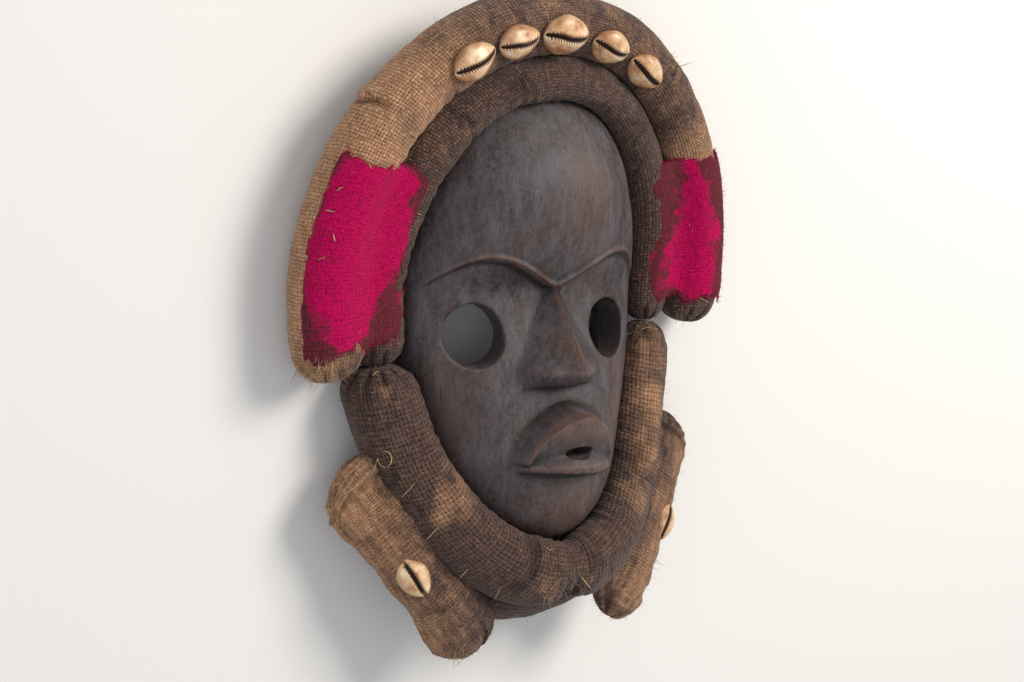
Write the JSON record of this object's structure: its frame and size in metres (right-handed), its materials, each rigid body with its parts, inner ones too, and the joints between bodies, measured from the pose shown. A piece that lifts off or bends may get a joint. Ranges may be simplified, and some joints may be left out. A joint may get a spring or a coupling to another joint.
{
  "type": "carved face mask",
  "caption": "Carved wooden face mask with open round eyes and full lips, framed by stuffed burlap rolls and pads with felt patches and cowrie shells.",
  "frame": {"origin": "middle of the bounding box at its base, where the mask lies on its back", "axes": "+Z the way the face looks, +Y over the forehead, +X to the viewer's right"},
  "size_m": [0.2476, 0.3026, 0.0665],
  "materials": {
    "carved_wood": "satin",
    "tan_burlap": "matte",
    "brown_burlap": "matte",
    "magenta_felt": "matte",
    "cowrie_shell": "gloss"
  },
  "bodies": {
    "root": {"wooden_face": "carved_wood", "inner_crown_roll": "brown_burlap", "outer_crown_roll": "tan_burlap", "front_chin_roll": "brown_burlap", "back_chin_roll": "brown_burlap", "left_side_pad": "tan_burlap", "right_side_pad": "tan_burlap", "left_felt_patch": "magenta_felt", "right_felt_patch": "magenta_felt", "crown_cowrie_1": "cowrie_shell", "crown_cowrie_2": "cowrie_shell", "crown_cowrie_3": "cowrie_shell", "crown_cowrie_4": "cowrie_shell", "crown_cowrie_5": "cowrie_shell", "left_pad_cowrie": "cowrie_shell", "right_pad_cowrie": "cowrie_shell"}
  },
  "joints": []
}
